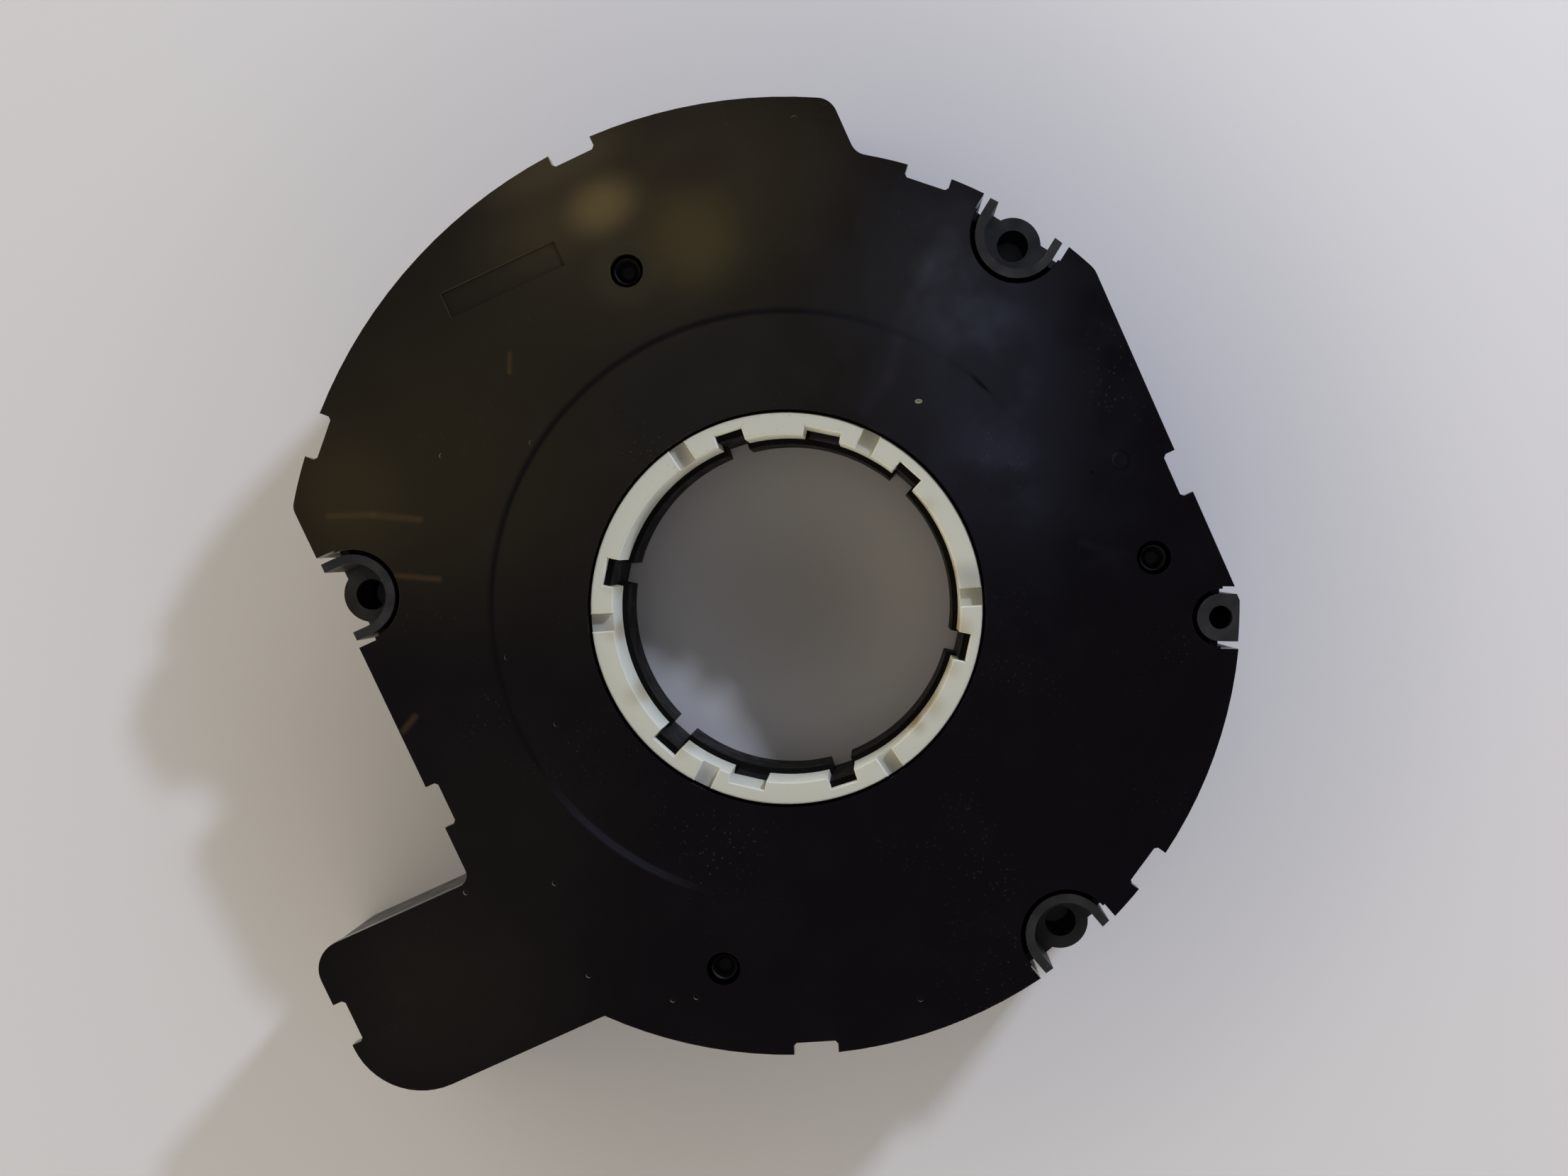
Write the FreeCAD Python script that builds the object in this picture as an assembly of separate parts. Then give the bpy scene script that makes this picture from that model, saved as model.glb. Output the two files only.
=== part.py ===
import FreeCAD, Part
import math
import os

from FreeCAD import Vector

# Steering angle sensor: a flat ring-shaped sensor that sits round the steering column.
# Millimetres. Z is the rotor's axis and points out of the front cover, X points away from the
# connector arm, and the origin is the centre of the rotor's bore at the rotor's rear end.

# Depth of the case, from the mounting plane at the back to the face of the cover
overall_depth = 15.0
rotor_setback = 0.5
floor_t = 1.8
wall_t = 1.6
cover_t = 2.0
back_z = -rotor_setback
front_z = back_z + overall_depth
floor_z = back_z + floor_t
cover_under_z = front_z - cover_t

# Outline of the case, seen from the front
main_r = 55.4
lobe_reach = 6.0
lobe_side_x = 30.4
right_flat_cut = 4.5
left_flat_cut = 5.8
arm_length = 22.3
arm_top_y = -14.3
arm_width = 22.2
lobe_corner_r = 2.6
lobe_foot_r = 2.2
left_corner_r = 2.0
right_corner_r = 3.0
arm_root_r = 1.5
arm_upper_r = 3.7
arm_lower_r = 9.2
cover_overhang = 0.15
lobe_r = main_r + lobe_reach
right_flat_x = main_r - right_flat_cut
left_flat_x = main_r - left_flat_cut
arm_end_x = left_flat_x + arm_length
arm_bottom_y = arm_top_y - arm_width
arm_middle_y = (arm_top_y + arm_bottom_y) / 2

# Snap notches: direction, place along the edge, and how far out that edge lies
notch_w = 5.5
notch_depth = 1.55
notch_corner = 0.35
left_notch_y = -4.2
arm_notch_shift = 1.3
right_notch_y = -4.65
arm_notch_y = arm_middle_y + arm_notch_shift
notch_angles = [90.5, 135.2, 180.0, 180.0, 249.2, 299.9, 0.0, 47.2]
notch_places = [0.0, 0.0, -left_notch_y, -arm_notch_y, 0.0, 0.0, right_notch_y, 0.0]
notch_reaches = [lobe_r, lobe_r, left_flat_x, arm_end_x, main_r, main_r, right_flat_x, main_r]
notch_sites = list(zip(notch_angles, notch_places, notch_reaches))

# Snap tongues of the cover, inside the notch walls, with barbs in windows of those walls
latch_w = 3.6
latch_t = 1.2
latch_gap = 0.1
latch_drop = 7.1
latch_nose = 0.4
barb_h = 1.9
barb_reach = 1.2
barb_land = 0.5
window_clearance = 0.2
window_past_wall = 0.5

# Screw sites on one pitch circle: angle of the hole, and the way its collar opens
site_edge_gap = 2.4
site_pitch_r = main_r - site_edge_gap
ear_angles = [33.7, 286.2, 153.7]
ear_opening_angles = [33.7, 286.2, 180.0]
boss_angle = 334.5
ear_sites = list(zip(ear_angles, ear_opening_angles))
boss_site = (boss_angle, boss_angle)
ear_hole_r = 1.95
ear_tongue_r = 3.5
ear_edge = 1.9
opening_reach = 12.0
ear_recess = 7.0
ear_top_z = front_z - ear_recess
ear_collar_inner_r = 4.0
ear_collar_r = 5.1
boss_hole_r = 1.45
boss_r = 2.9
collar_setback = 0.1
collar_gap = 0.6
slit_w = 0.9
slit_length = 2.3
slit_guard_t = 1.0

# Locating posts for the board, each on a square pad, and the cover's square sleeves over them
post_inset = 10.2
post_pitch_r = main_r - post_inset
post_angles = [90.6, 343.6, 235.4]
post_r = 1.55
post_setback = 0.9
post_pad_side = 5.4
cover_hole_r = 2.05
sleeve_gap = 0.05

# Rotor, from the bore outwards: black driver ring, white hub and its bearing in the housing
driver_bore_r = 20.6
driver_wall = 2.2
driver_fit = 0.05
driver_below_face = 7.5
rim_step = 0.7
hub_wall = 1.2
hub_shoulder = 1.0
hub_setback = 0.2
running_gap = 0.08
face_gap = 0.3
axial_play = 0.3
bearing_t = 1.6
driver_r = driver_bore_r + driver_wall
rim_inner_r = driver_bore_r + rim_step
hub_r = driver_r + hub_wall
hub_rear_r = hub_r + hub_shoulder
hub_rear_z = 0.0
hub_front_z = front_z - hub_setback
driver_top_z = front_z - driver_below_face
bearing_r = hub_rear_r + running_gap

# Circuit board
board_standoff = 1.7
board_t = 1.6
board_gap = 0.4
board_bore_gap = 0.92
board_inner_r = bearing_r + bearing_t + board_bore_gap
board_bottom_z = floor_z + board_standoff
board_top_z = board_bottom_z + board_t
post_hole_gap = 0.1

# Fork light barriers, and the skirt of the code ring that runs through them
barrier_count = 9
barrier_start_angle = 10.0
barrier_w = 4.4
fork_edge_gap = 2.2
fork_base_t = 1.6
fork_prong_t = 2.1
fork_gap = 0.7
fork_below_plate = 0.5
fork_chamfer = 0.6
barrier_foot_w = 4.6
foot_w = 0.6
foot_t = 0.25
foot_length = 0.9
skirt_t = 1.0
skirt_base_gap = 0.4
fork_inner_r = board_inner_r + fork_edge_gap
skirt_inner_r = fork_inner_r + fork_prong_t + fork_gap
skirt_r = skirt_inner_r + skirt_t
fork_outer_r = skirt_r + fork_gap + fork_prong_t
skirt_bottom_z = board_top_z + fork_base_t + skirt_base_gap

# Code ring: a disc on the hub's shoulder with a skirt of windows; one digit is one sector
code_top_z = cover_under_z - axial_play
code_plate_t = 1.0
shoulder_z = code_top_z - code_plate_t
window_h = 2.6
code_digits = "110100101110001011001101"

# Marks in the face of the cover
groove_past_skirt = 2.5
groove_r = skirt_r + groove_past_skirt
groove_w = 0.8
groove_depth = 0.3
label_x = -14.5
label_below_lobe = 11.0
label_y = lobe_r - label_below_lobe
label_w = 15.2
label_h = 3.2
label_depth = 0.2

# Snap hooks of the driver ring, their pockets in the hub, and the core notches below them
hook_count = 6
hook_angle = 23.6
hook_w = 3.2
hook_t = 0.7
hook_root = 1.0
hook_tip_below_face = 1.6
hook_tip_chamfer = 0.3
barb_length = 1.3
hook_barb = 0.55
hook_gap = 0.1
core_notch_w = 2.8
core_notch_depth = 1.3
hook_inner_r = driver_bore_r + core_notch_depth
hook_top_z = front_z - hook_tip_below_face

# Castellated front rim of the hub, and the two key slots
rim_gap_angle = 39.5
rim_gap_w = 2.2
rim_gap_depth = 0.8
key_angles = [54.0, 232.5]
key_w = 4.5
key_web = 0.7
key_depth = 1.0
key_inner_r = driver_bore_r + key_web
key_outer_r = rim_inner_r + key_depth

# Other parts on the board, by angle and distance from the middle of the free ring, or from the arm
lobe_middle_r = (fork_outer_r + lobe_r) / 2
flat_middle_r = (fork_outer_r + left_flat_x) / 2
chip_side = 12.0
chip_t = 1.5
chip_legs = 6
chip_leg_pitch = 1.3
chip_angle = 72.0
chip_shift = 1.1
regulator_size = (6.6, 6.2, 2.3)
regulator_tab_w = 5.3
regulator_tab_l = 1.2
regulator_leg_pitch = 4.6
regulator_angle = 110.1
regulator_shift = 0.6
driver_chip_size = (5.0, 4.0, 1.6)
driver_chip_leg_pitch = 1.25
arm_parts_inset = 8.6
driver_chip_below_top = 7.7
crystal_size = (7.0, 5.0, 1.6)
crystal_lid_step = 0.4
crystal_turn_angle = 135.0
crystal_angle = 135.9
crystal_shift = -5.05
capacitor_size = (7.3, 4.3, 2.9)
capacitor_terminal = 1.3
capacitor_lift = 0.2
capacitor_side_step = 0.8
flat_capacitor_angle = 190.0
flat_capacitor_shift = -2.9
lobe_capacitor_angle = 122.4
lobe_capacitor_shift = 1.45
choke_size = (5.2, 4.6, 3.4)
choke_lift = 0.3
choke_foot = 1.2
choke_below_top = 15.2
resistor_size = (2.0, 1.25, 0.5)
resistor_past_fork = 4.2
resistor_r = fork_outer_r + resistor_past_fork
resistor_angles = [10.0, 18.0, 26.0, 34.0, 200.0, 206.0, 258.0, 266.0, 274.0, 300.0, 308.0, 316.0]

# Connector in the arm: socket open to the back, header on top of it, six bent pins
socket_from_end = 11.4
socket_x = -arm_end_x + socket_from_end
socket_y = arm_middle_y
socket_side = 3.3
socket_inner_w = 8.0
socket_inner_l = arm_width - 2 * socket_side
socket_wall = 1.2
header_flange_t = 1.0
header_flange_margin = 0.8
header_body_t = 2.0
header_below_cover = 2.1
header_fit = 0.05
header_top_z = cover_under_z - header_below_cover
key_rib_w = 1.2
key_rib_h = 0.5
key_rib_root = 0.3
key_rib_setback = 1.0
key_rib_offset = 4.6
pin_count = 6
pin_edge = 1.8
pin_pitch = (socket_inner_l - 2 * pin_edge) / (pin_count - 1)
pin_side = 0.64
pin_recess = 4.5
pin_rise = 0.5
pin_tail_past_socket = 2.5
pin_tail_x = socket_x + socket_inner_w / 2 + socket_wall + pin_tail_past_socket
pin_through = 0.6
pin_hole_gap = 0.15
board_past_tails = 1.4
board_arm_x = pin_tail_x - board_past_tails

# How far cutting shapes run past what they cut, and a length beyond every edge of the case
past = 1.0
whole = 200.0


def cylinder(radius, z0, z1, x=0.0, y=0.0):
    return Part.makeCylinder(radius, z1 - z0, Vector(x, y, z0))


def tube(outer, inner, z0, z1, x=0.0, y=0.0):
    return cylinder(outer, z0, z1, x, y).cut(cylinder(inner, z0, z1, x, y))


def block(x0, x1, y0, y1, z0, z1):
    return Part.makeBox(x1 - x0, y1 - y0, z1 - z0, Vector(x0, y0, z0))


def centred_block(x, y, length, width, z0, z1):
    return block(x - length / 2, x + length / 2, y - width / 2, y + width / 2, z0, z1)


def turned(profile):
    points = [Vector(r, 0, z) for r, z in profile]
    face = Part.Face(Part.makePolygon(points + points[:1]))
    return face.revolve(Vector(0, 0, 0), Vector(0, 0, 1), 360)


def extruded(points, direction):
    face = Part.Face(Part.makePolygon(points + points[:1]))
    return face.extrude(direction)


def turn(shape, angle):
    copy = shape.copy()
    copy.rotate(Vector(0, 0, 0), Vector(0, 0, 1), angle)
    return copy


def upright_edges(solid, x, y):
    # Edges parallel to Z that stand over the point x, y
    found = []
    for edge in solid.Edges:
        low, high = edge.BoundBox.ZMin, edge.BoundBox.ZMax
        middle = edge.CenterOfMass
        upright = edge.BoundBox.XLength < 1e-4 and edge.BoundBox.YLength < 1e-4 and high > low
        if upright and math.hypot(middle.x - x, middle.y - y) < 1e-3:
            found.append(edge)
    return found


def arc_through(radius, start, end):
    # Edge on the circle of this radius about the origin, anticlockwise from start to end
    a = math.atan2(start.y, start.x)
    b = math.atan2(end.y, end.x)
    if b < a:
        b += 2 * math.pi
    middle = (a + b) / 2
    half_way = Vector(radius * math.cos(middle), radius * math.sin(middle), start.z)
    return Part.Arc(start, half_way, end).toShape()


def plain_outline(inset, z0, z1, rounded=True):
    # The case's outline without its notches, drawn in by inset and extruded from z0 to z1
    main = main_r - inset
    lobe = lobe_r - inset
    side = lobe_side_x - inset
    right = right_flat_x - inset
    left = -left_flat_x + inset
    end = -arm_end_x + inset
    top = arm_top_y - inset
    bottom = arm_bottom_y + inset
    foot = Vector(side, math.sqrt(main ** 2 - side ** 2), z0)
    shoulder = Vector(side, math.sqrt(lobe ** 2 - side ** 2), z0)
    left_top = Vector(left, math.sqrt(lobe ** 2 - left ** 2), z0)
    arm_root = Vector(left, top, z0)
    arm_upper = Vector(end, top, z0)
    arm_lower = Vector(end, bottom, z0)
    arm_join = Vector(-math.sqrt(main ** 2 - bottom ** 2), bottom, z0)
    right_low = Vector(right, -math.sqrt(main ** 2 - right ** 2), z0)
    right_high = Vector(right, math.sqrt(main ** 2 - right ** 2), z0)
    edges = [
        Part.makeLine(foot, shoulder),
        arc_through(lobe, shoulder, left_top),
        Part.makeLine(left_top, arm_root),
        Part.makeLine(arm_root, arm_upper),
        Part.makeLine(arm_upper, arm_lower),
        Part.makeLine(arm_lower, arm_join),
        arc_through(main, arm_join, right_low),
        Part.makeLine(right_low, right_high),
        arc_through(main, right_high, foot),
    ]
    solid = Part.Face(Part.Wire(edges)).extrude(Vector(0, 0, z1 - z0))
    if not rounded:
        return solid
    corners = [
        (foot, lobe_foot_r + inset),
        (shoulder, lobe_corner_r - inset),
        (left_top, left_corner_r - inset),
        (arm_root, arm_root_r + inset),
        (arm_upper, arm_upper_r - inset),
        (arm_lower, arm_lower_r - inset),
        (right_high, right_corner_r - inset),
    ]
    for corner, radius in corners:
        if radius > 0.1:
            solid = solid.makeFillet(radius, upright_edges(solid, corner.x, corner.y))
    return solid


def notch_cutter(site, inset, z0, z1, corner):
    angle, along, reach = site
    half = notch_w / 2 + inset
    low = reach - notch_depth - inset
    cutter = block(low, reach + wall_t + past, along - half, along + half, z0, z1)
    if corner > 0:
        corners = upright_edges(cutter, low, along - half) + upright_edges(cutter, low, along + half)
        cutter = cutter.makeChamfer(corner, corners)
    return turn(cutter, angle)


def outline(inset, z0, z1, corner=0.0):
    solid = plain_outline(inset, z0, z1)
    for site in notch_sites:
        solid = solid.cut(notch_cutter(site, inset, z0, z1, corner))
    return solid


def at_site(shape, site):
    # From a screw hole's own axes, with X the way the collar opens, to its place in the case
    angle, opening = site
    copy = turn(shape, opening)
    place = math.radians(angle)
    copy.translate(Vector(site_pitch_r * math.cos(place), site_pitch_r * math.sin(place), 0))
    return copy


def horseshoe(half_width, z0, z1):
    return cylinder(half_width, z0, z1).fuse(block(0, opening_reach, -half_width, half_width, z0, z1))


def site_edge(site):
    # How far the case's outline lies from a screw hole, along the way its collar opens
    angle, opening = site
    if opening == 180.0:
        return left_flat_x + site_pitch_r * math.cos(math.radians(angle))
    return main_r - site_pitch_r


def site_slits(site, collar_r, margin, z0, z1):
    # The two slits beside a collar's tips, or with a margin the guards round them
    edge = site_edge(site)
    slits = []
    for side in (-1, 1):
        low = collar_r - margin
        high = collar_r + slit_w + margin
        y0, y1 = sorted((side * low, side * high))
        slits.append(block(edge - slit_length - margin, edge + opening_reach, y0, y1, z0, z1))
    return slits[0].fuse(slits[1])


def site_zone(site, collar_r, z0, z1):
    # Room that a collar and its slit guards take up inside the case
    zone = horseshoe(collar_r, z0, z1).fuse(site_slits(site, collar_r, slit_guard_t, z0, z1))
    return at_site(zone, site)


def all_sites():
    return [(site, ear_collar_r) for site in ear_sites] + [(boss_site, boss_r)]


def ear(site):
    # Screw ear sunk in a collar that is open outwards, with a rounded tongue past the outline
    floor = horseshoe(ear_collar_inner_r, ear_top_z, front_z + past)
    half = ear_collar_inner_r
    gap = block(ear_edge, opening_reach, -half, half, back_z - past, ear_top_z + past)
    gap = gap.cut(cylinder(ear_tongue_r, back_z - past, ear_top_z + past))
    hole = cylinder(ear_hole_r, back_z - past, front_z + past)
    return at_site(floor.fuse(gap).fuse(hole), site)


def post_places():
    for angle in post_angles:
        place = math.radians(angle)
        yield post_pitch_r * math.cos(place), post_pitch_r * math.sin(place)


def latch(site):
    # Tongue that hangs from the cover, with a barb whose flat top locks in the wall's window
    angle, along, reach = site
    outer = reach - notch_depth - cover_overhang - wall_t - latch_gap
    inner = outer - latch_t
    tip = cover_under_z - latch_drop
    half = latch_w / 2
    profile = [
        Vector(inner, along - half, cover_under_z),
        Vector(inner, along - half, tip),
        Vector(outer - latch_nose, along - half, tip),
        Vector(outer, along - half, tip + barb_land),
        Vector(outer + barb_reach, along - half, tip + barb_h - barb_land),
        Vector(outer + barb_reach, along - half, tip + barb_h),
        Vector(outer, along - half, tip + barb_h),
        Vector(outer, along - half, cover_under_z),
    ]
    return turn(extruded(profile, Vector(0, latch_w, 0)), angle)


def latch_window(site):
    angle, along, reach = site
    outer = reach - notch_depth - cover_overhang + window_past_wall
    inner = reach - notch_depth - cover_overhang - wall_t - window_past_wall
    half = latch_w / 2 + window_clearance
    low = cover_under_z - latch_drop - window_clearance
    high = cover_under_z - latch_drop + barb_h + window_clearance
    return turn(block(inner, outer, along - half, along + half, low, high), angle)


def front_cover():
    plate = outline(0.0, cover_under_z, front_z, notch_corner)
    plate = plate.fuse([latch(site) for site in notch_sites])
    bore_r = hub_r + face_gap
    for x, y in post_places():
        foot_z = board_top_z + sleeve_gap
        plate = plate.fuse(centred_block(x, y, post_pad_side, post_pad_side, foot_z, cover_under_z))
    low = cover_under_z - past
    high = front_z + past
    cuts = [cylinder(bore_r, low, high)]
    for x, y in post_places():
        cuts.append(cylinder(cover_hole_r, board_bottom_z, high, x, y))
    for site, collar_r in all_sites():
        cuts.append(at_site(horseshoe(collar_r + collar_gap, low, high), site))
        cuts.append(at_site(site_slits(site, collar_r, 0.0, low, high), site))
    groove = turned([
        (groove_r, front_z - groove_depth),
        (groove_r + groove_w / 2, front_z),
        (groove_r + groove_w / 2, high),
        (groove_r - groove_w / 2, high),
        (groove_r - groove_w / 2, front_z),
    ])
    cuts.append(groove)
    cuts.append(centred_block(label_x, label_y, label_w, label_h, front_z - label_depth, high))
    return plate.cut(cuts).removeSplitter()


def socket_block(margin, z0, z1):
    return centred_block(
        socket_x, socket_y, socket_inner_w + 2 * margin, socket_inner_l + 2 * margin, z0, z1
    )


def socket_keys(z0, z1):
    # Two keying ribs on the socket's inner long wall
    ribs = []
    for side in (-1, 1):
        y = socket_y + side * key_rib_offset
        x = socket_x + socket_inner_w / 2
        ribs.append(block(x - key_rib_h, x + key_rib_root, y - key_rib_w / 2, y + key_rib_w / 2, z0, z1))
    return ribs


def rear_housing():
    shell = outline(cover_overhang, back_z, cover_under_z)
    cavity = outline(cover_overhang + wall_t, floor_z, cover_under_z + past)
    for site, collar_r in all_sites():
        cavity = cavity.cut(site_zone(site, collar_r, floor_z, cover_under_z + past))
    cavity = cavity.cut(cylinder(bearing_r + bearing_t, floor_z, shoulder_z - axial_play))
    header_seat_z = header_top_z - header_flange_t
    cavity = cavity.cut(socket_block(socket_wall, floor_z, header_seat_z))
    for x, y in post_places():
        side = post_pad_side
        cavity = cavity.cut(centred_block(x, y, side, side, floor_z, board_bottom_z))
        cavity = cavity.cut(cylinder(post_r, floor_z, cover_under_z + past, x, y))
    shell = shell.cut(cavity)
    for x, y in post_places():
        shell = shell.fuse(cylinder(post_r, floor_z, front_z - post_setback, x, y))
    collar_top_z = front_z - collar_setback
    bounds = plain_outline(cover_overhang, back_z, collar_top_z)
    for site, collar_r in all_sites():
        collar = at_site(horseshoe(collar_r, back_z, collar_top_z), site)
        shell = shell.fuse(collar.common(bounds))
    for site in ear_sites:
        shell = shell.fuse(at_site(cylinder(ear_tongue_r, back_z, ear_top_z), site))
    cuts = [ear(site) for site in ear_sites]
    cuts.append(at_site(cylinder(boss_hole_r, back_z - past, front_z + past), boss_site))
    for site, collar_r in all_sites():
        cuts.append(at_site(site_slits(site, collar_r, 0.0, back_z - past, front_z + past), site))
    cuts.append(cylinder(bearing_r, back_z - past, front_z))
    cuts.append(socket_block(0.0, back_z - past, header_seat_z + past))
    cuts += [latch_window(site) for site in notch_sites]
    shell = shell.cut(cuts)
    key_top_z = header_seat_z - header_body_t
    return shell.fuse(socket_keys(back_z + key_rib_setback, key_top_z)).removeSplitter()


def spaced(first_angle, count):
    return [first_angle + 360.0 * k / count for k in range(count)]


def hook_angles():
    return spaced(hook_angle, hook_count)


def key_slots(inner, outer, z0, z1):
    slots = []
    for angle in key_angles:
        slots.append(turn(block(inner, outer, -key_w / 2, key_w / 2, z0, z1), angle))
    return slots


def rotor_hub():
    seat_r = driver_r + driver_fit
    body = turned([
        (hub_rear_r, hub_rear_z),
        (hub_rear_r, shoulder_z),
        (hub_r, shoulder_z),
        (hub_r, hub_front_z),
        (rim_inner_r, hub_front_z),
        (rim_inner_r, driver_top_z),
        (seat_r, driver_top_z),
        (seat_r, hub_rear_z),
    ])
    pocket_r = hook_inner_r + hook_t + hook_gap
    half = hook_w / 2 + hook_gap
    cuts = []
    for angle in hook_angles():
        cuts.append(turn(block(rim_inner_r - past, pocket_r, -half, half, driver_top_z, front_z), angle))
        low = hook_top_z - barb_length - hook_gap
        high = hook_top_z + hook_gap
        reach = pocket_r + hook_barb + hook_gap
        cuts.append(turn(block(rim_inner_r, reach, -half, half, low, high), angle))
    for angle in spaced(rim_gap_angle, hook_count):
        half = rim_gap_w / 2
        gap = block(rim_inner_r - past, hub_r + past, -half, half, hub_front_z - rim_gap_depth, front_z)
        cuts.append(turn(gap, angle))
    cuts += key_slots(rim_inner_r - past, key_outer_r, driver_top_z, front_z)
    return body.cut(cuts).removeSplitter()


def hook():
    # One snap hook, standing on the driver ring, with a barb that points away from the axis
    outer = hook_inner_r + hook_t
    low = hook_top_z - barb_length
    profile = [
        Vector(hook_inner_r, -hook_w / 2, driver_top_z - hook_root),
        Vector(outer, -hook_w / 2, driver_top_z - hook_root),
        Vector(outer, -hook_w / 2, low),
        Vector(outer + hook_barb, -hook_w / 2, low + hook_barb),
        Vector(outer + hook_barb, -hook_w / 2, hook_top_z - hook_tip_chamfer),
        Vector(outer + hook_barb - hook_tip_chamfer, -hook_w / 2, hook_top_z),
        Vector(hook_inner_r, -hook_w / 2, hook_top_z),
    ]
    return extruded(profile, Vector(0, hook_w, 0))


def driver_ring():
    body = tube(driver_r, driver_bore_r, 0, driver_top_z)
    body = body.fuse([turn(hook(), angle) for angle in hook_angles()])
    half = core_notch_w / 2
    cuts = [
        turn(block(driver_bore_r - past, hook_inner_r, -half, half, -past, driver_top_z + past), angle)
        for angle in hook_angles()
    ]
    cuts += key_slots(key_inner_r, driver_r + driver_fit, -past, driver_top_z + past)
    return body.cut(cuts).removeSplitter()


def code_ring():
    body = turned([
        (hub_r + driver_fit, shoulder_z),
        (skirt_inner_r, shoulder_z),
        (skirt_inner_r, skirt_bottom_z),
        (skirt_r, skirt_bottom_z),
        (skirt_r, code_top_z),
        (hub_r + driver_fit, code_top_z),
    ])
    sector = 360.0 / len(code_digits)
    cuts = []
    for k, digit in enumerate(code_digits):
        if digit == "0":
            continue
        low = skirt_bottom_z - past
        window = tube(skirt_r + past, skirt_inner_r - past, low, skirt_bottom_z + window_h)
        wedge_end = 2 * skirt_r
        a = math.radians(sector)
        wedge = extruded([
            Vector(0, 0, low),
            Vector(wedge_end, 0, low),
            Vector(wedge_end * math.cos(a), wedge_end * math.sin(a), low),
        ], Vector(0, 0, window_h + past))
        cuts.append(turn(window.common(wedge), k * sector))
    return body.cut(cuts).removeSplitter()


def pin_places():
    return [socket_y + (k - (pin_count - 1) / 2) * pin_pitch for k in range(pin_count)]


def circuit_board():
    inset = cover_overhang + wall_t + notch_depth + board_gap
    board = plain_outline(inset, board_bottom_z, board_top_z, rounded=False)
    cuts = [cylinder(board_inner_r, board_bottom_z, board_top_z)]
    cuts.append(block(-whole, board_arm_x, -whole, 0, board_bottom_z, board_top_z))
    for site, collar_r in all_sites():
        reach = collar_r + board_gap
        half = reach + slit_w + slit_guard_t
        cuts.append(at_site(block(-reach, opening_reach, -half, half, board_bottom_z, board_top_z), site))
    for x, y in post_places():
        cuts.append(cylinder(post_r + post_hole_gap, board_bottom_z, board_top_z, x, y))
    hole = pin_side + 2 * pin_hole_gap
    for y in pin_places():
        cuts.append(centred_block(pin_tail_x, y, hole, hole, board_bottom_z, board_top_z))
    return board.cut(cuts).removeSplitter()


def light_barrier(angle):
    # Fork with the skirt running between its prongs, with a solder foot at each side
    slot_inner = skirt_inner_r - fork_gap
    slot_outer = skirt_r + fork_gap
    inner = fork_inner_r
    outer = fork_outer_r
    low = board_top_z
    base = low + fork_base_t
    top = shoulder_z - fork_below_plate
    half = barrier_w / 2
    fork = extruded([
        Vector(inner, -half, low),
        Vector(outer, -half, low),
        Vector(outer, -half, top - fork_chamfer),
        Vector(outer - fork_chamfer, -half, top),
        Vector(slot_outer, -half, top),
        Vector(slot_outer, -half, base),
        Vector(slot_inner, -half, base),
        Vector(slot_inner, -half, top),
        Vector(inner + fork_chamfer, -half, top),
        Vector(inner, -half, top - fork_chamfer),
    ], Vector(0, barrier_w, 0))
    middle = (inner + outer) / 2
    foot = centred_block(middle, 0, barrier_foot_w, barrier_w + 2 * foot_length, low, low + foot_t)
    return turn(fork.fuse(foot), angle)


def on_board(shape, angle, radius):
    # A part modelled about the Z axis, moved to its place on the board
    place = math.radians(angle)
    shape.translate(Vector(radius * math.cos(place), radius * math.sin(place), 0))
    return shape


def legs_along(count, pitch, y0, y1):
    # A row of flat legs on the board, from y0 to y1
    rows = []
    high = board_top_z + foot_t
    for k in range(count):
        middle = (k - (count - 1) / 2) * pitch
        rows.append(block(middle - foot_w / 2, middle + foot_w / 2, y0, y1, board_top_z, high))
    return rows


def microcontroller():
    half = chip_side / 2
    inner = half - foot_length
    body = block(-inner, inner, -inner, inner, board_top_z, board_top_z + chip_t)
    rows = legs_along(chip_legs, chip_leg_pitch, -half, -inner)
    chip = body
    for quarter in range(4):
        chip = chip.fuse([turn(leg, 90 * quarter) for leg in rows])
    return on_board(chip, chip_angle, lobe_middle_r + chip_shift)


def bus_driver():
    length, width, height = driver_chip_size
    body = centred_block(0, 0, length, width, board_top_z, board_top_z + height)
    rows = legs_along(4, driver_chip_leg_pitch, width / 2, width / 2 + foot_length)
    rows += legs_along(4, driver_chip_leg_pitch, -width / 2 - foot_length, -width / 2)
    chip = body.fuse(rows)
    chip.translate(Vector(arm_parts_inset - left_flat_x, arm_top_y - driver_chip_below_top, 0))
    return chip


def voltage_regulator():
    length, width, height = regulator_size
    body = centred_block(0, 0, length, width, board_top_z, board_top_z + height)
    tab_y = (width + regulator_tab_l) / 2
    tab_z = board_top_z + 2 * foot_t
    tab = centred_block(0, tab_y, regulator_tab_w, regulator_tab_l, board_top_z, tab_z)
    rows = legs_along(2, regulator_leg_pitch, -width / 2 - 2 * foot_length, -width / 2)
    return on_board(body.fuse([tab] + rows), regulator_angle, lobe_middle_r + regulator_shift)


def quartz_crystal():
    # Ceramic base with a smaller metal lid
    length, width, height = crystal_size
    lid_z = board_top_z + height / 2
    base = centred_block(0, 0, length, width, board_top_z, lid_z)
    step = 2 * crystal_lid_step
    lid = centred_block(0, 0, length - step, width - step, lid_z, board_top_z + height)
    return on_board(turn(base.fuse(lid), crystal_turn_angle), crystal_angle, lobe_middle_r + crystal_shift)


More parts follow.
